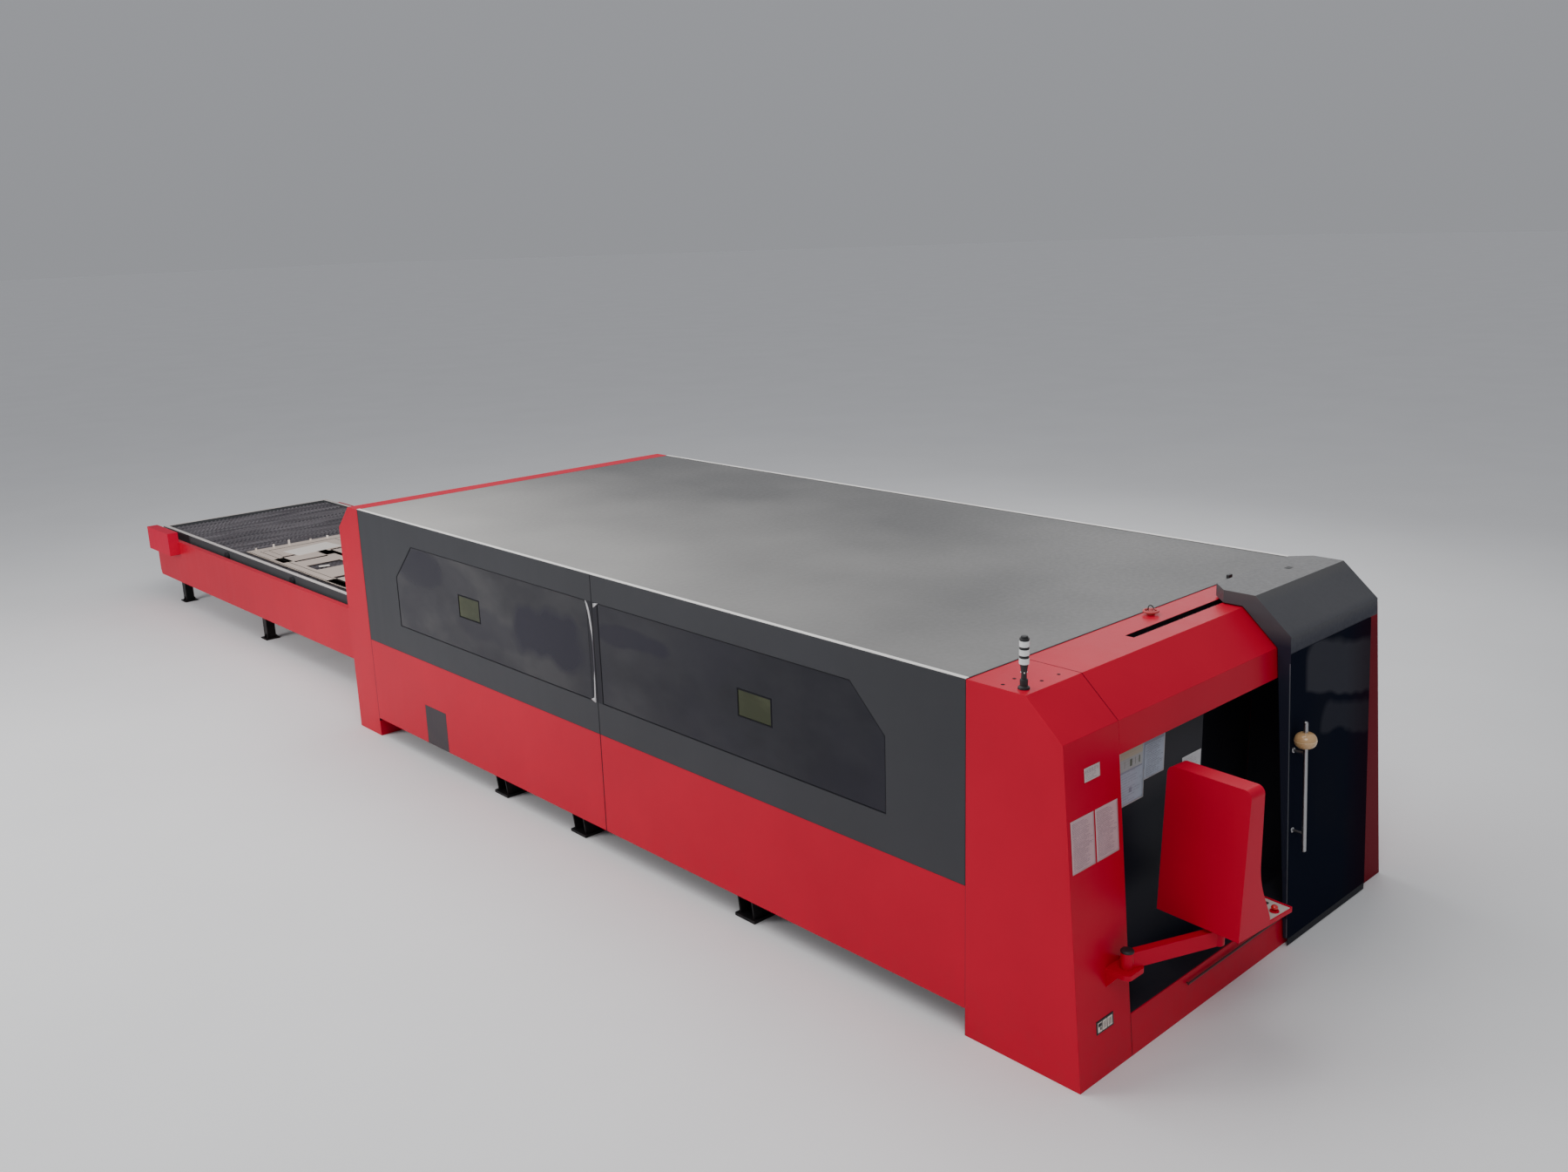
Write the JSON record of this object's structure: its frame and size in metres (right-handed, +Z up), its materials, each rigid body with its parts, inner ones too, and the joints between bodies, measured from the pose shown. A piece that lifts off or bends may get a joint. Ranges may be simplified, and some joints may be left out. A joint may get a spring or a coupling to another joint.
{
  "type": "fiber laser cutting machine",
  "caption": "Enclosed fiber laser cutter: long cabin with dark side windows, sliding front door, swing-arm console, gantry head and a rear exchange table with shuttle pallets.",
  "frame": {"origin": "on the floor, under the middle of the machine's width and of its whole length from the keyboard tray's tip to the outer pallet's end", "axes": "+X across the machine, +Y from the operator's end towards the exchange table, +Z up"},
  "size_m": [3.628, 15.6564, 2.495],
  "materials": {
    "red_paint": "semi-gloss powder coat",
    "grey_paint": "satin powder coat",
    "roof_paint": "satin powder coat",
    "hood_paint": "satin powder coat",
    "black_paint": "black paint",
    "frame_paint": "primer grey",
    "steel": "bare steel",
    "slat_steel": "scorched steel",
    "sheet_steel": "cut sheet",
    "trim": "satin",
    "dark_glass": "gloss dark acrylic",
    "laser_glass": "gloss green acrylic",
    "screen": "display",
    "black_plastic": "moulded",
    "rubber_wheel": "rubber",
    "grip": "gloss tan",
    "lens": "frosted",
    "stop_red": "gloss red",
    "eye": "worn red",
    "socket": "moulded",
    "paper": "printed",
    "head": "anodised",
    "copper": "copper nozzle",
    "drive": "motor paint"
  },
  "bodies": {
    "machine": {"front_left_column": "red_paint", "front_right_column": "red_paint", "front_header": "red_paint", "front_sill": "red_paint", "niche_panel": "grey_paint", "partition_wall": "grey_paint", "door_guide_rail": "steel", "door_guide_rod": "steel", "front_skirts": "red_paint", "rear_skirts": "red_paint", "front_side_panels": "grey_paint", "rear_side_panels": "grey_paint", "side_windows": "dark_glass", "sight_glasses": "laser_glass", "hatch_plate": "hood_paint", "roof_panel": "roof_paint", "roof_trims": "trim", "enclosure_frame": "frame_paint", "machine_bed": "frame_paint", "gantry_rails": "steel", "machine_feet": "black_paint", "rear_portal": "red_paint", "table_side_beams": "red_paint", "table_cross_members": "frame_paint", "table_legs": "black_paint", "corner_guard": "red_paint", "upper_pallet_rails": "steel", "lower_pallet_rails": "steel", "pallet_drive": "drive", "console_bracket": "red_paint", "pivot_cap": "black_plastic", "tower_body": "black_plastic", "tower_lenses": "lens", "lifting_eye": "eye", "socket_plate": "socket", "posted_sheets": "paper"},
    "door": {"door_frame": "hood_paint", "door_panel": "dark_glass", "door_handle": "steel", "handle_grip": "grip", "door_rollers": "steel"},
    "upper_pallet": {"upper_pallet_frame": "frame_paint", "upper_pallet_wheels": "steel", "upper_pallet_slats": "slat_steel", "cut_blank": "sheet_steel"},
    "lower_pallet": {"lower_pallet_frame": "frame_paint", "lower_pallet_wheels": "steel", "lower_pallet_slats": "slat_steel"},
    "gantry": {"gantry_beam": "head", "gantry_trucks": "frame_paint"},
    "carriage": {"head_carriage": "head"},
    "head": {"z_slide": "head", "cutting_head": "steel", "nozzle": "copper"},
    "arm": {"console_arm": "red_paint"},
    "console": {"console_housing": "red_paint", "console_screen": "screen", "keyboard_tray": "red_paint", "keyboard": "black_plastic"},
    "stop_button": {"emergency_stop": "stop_red"}
  },
  "joints": [
    {"name": "door_slide", "type": "slide", "parent": "machine", "child": "door", "axis": [-1, 0, 0], "range_m": [0, 0.83]},
    {"name": "upper_pallet_slide", "type": "slide", "parent": "machine", "child": "upper_pallet", "axis": [0, -1, 0], "range_m": [0, 7.63]},
    {"name": "lower_pallet_slide", "type": "slide", "parent": "machine", "child": "lower_pallet", "axis": [0, 1, 0], "range_m": [0, 7.63]},
    {"name": "gantry_slide", "type": "slide", "parent": "machine", "child": "gantry", "axis": [0, 1, 0], "range_m": [0, 5.6]},
    {"name": "carriage_slide", "type": "slide", "parent": "gantry", "child": "carriage", "axis": [1, 0, 0], "range_m": [-0.18, 1.82]},
    {"name": "head_lift", "type": "slide", "parent": "carriage", "child": "head", "axis": [0, 0, 1], "range_m": [-0.09, 0.1]},
    {"name": "arm_swing", "type": "hinge", "parent": "machine", "child": "arm", "pos_m": [-1.45, -7.37977, 0.64], "axis": [0, 0, 1], "range_deg": [-60, 0]},
    {"name": "console_swivel", "type": "hinge", "parent": "arm", "child": "console", "pos_m": [-0.88, -7.60177, 0.735], "axis": [0, 0, 1], "range_deg": [-90, 0]},
    {"name": "stop_press", "type": "slide", "parent": "console", "child": "stop_button", "axis": [0, 0, -1], "range_m": [0, 0.005], "stiffness_N_per_m": 1000}
  ],
  "couplings": [
    {"joint": "lower_pallet_slide", "follows": "upper_pallet_slide", "ratio": 1}
  ]
}
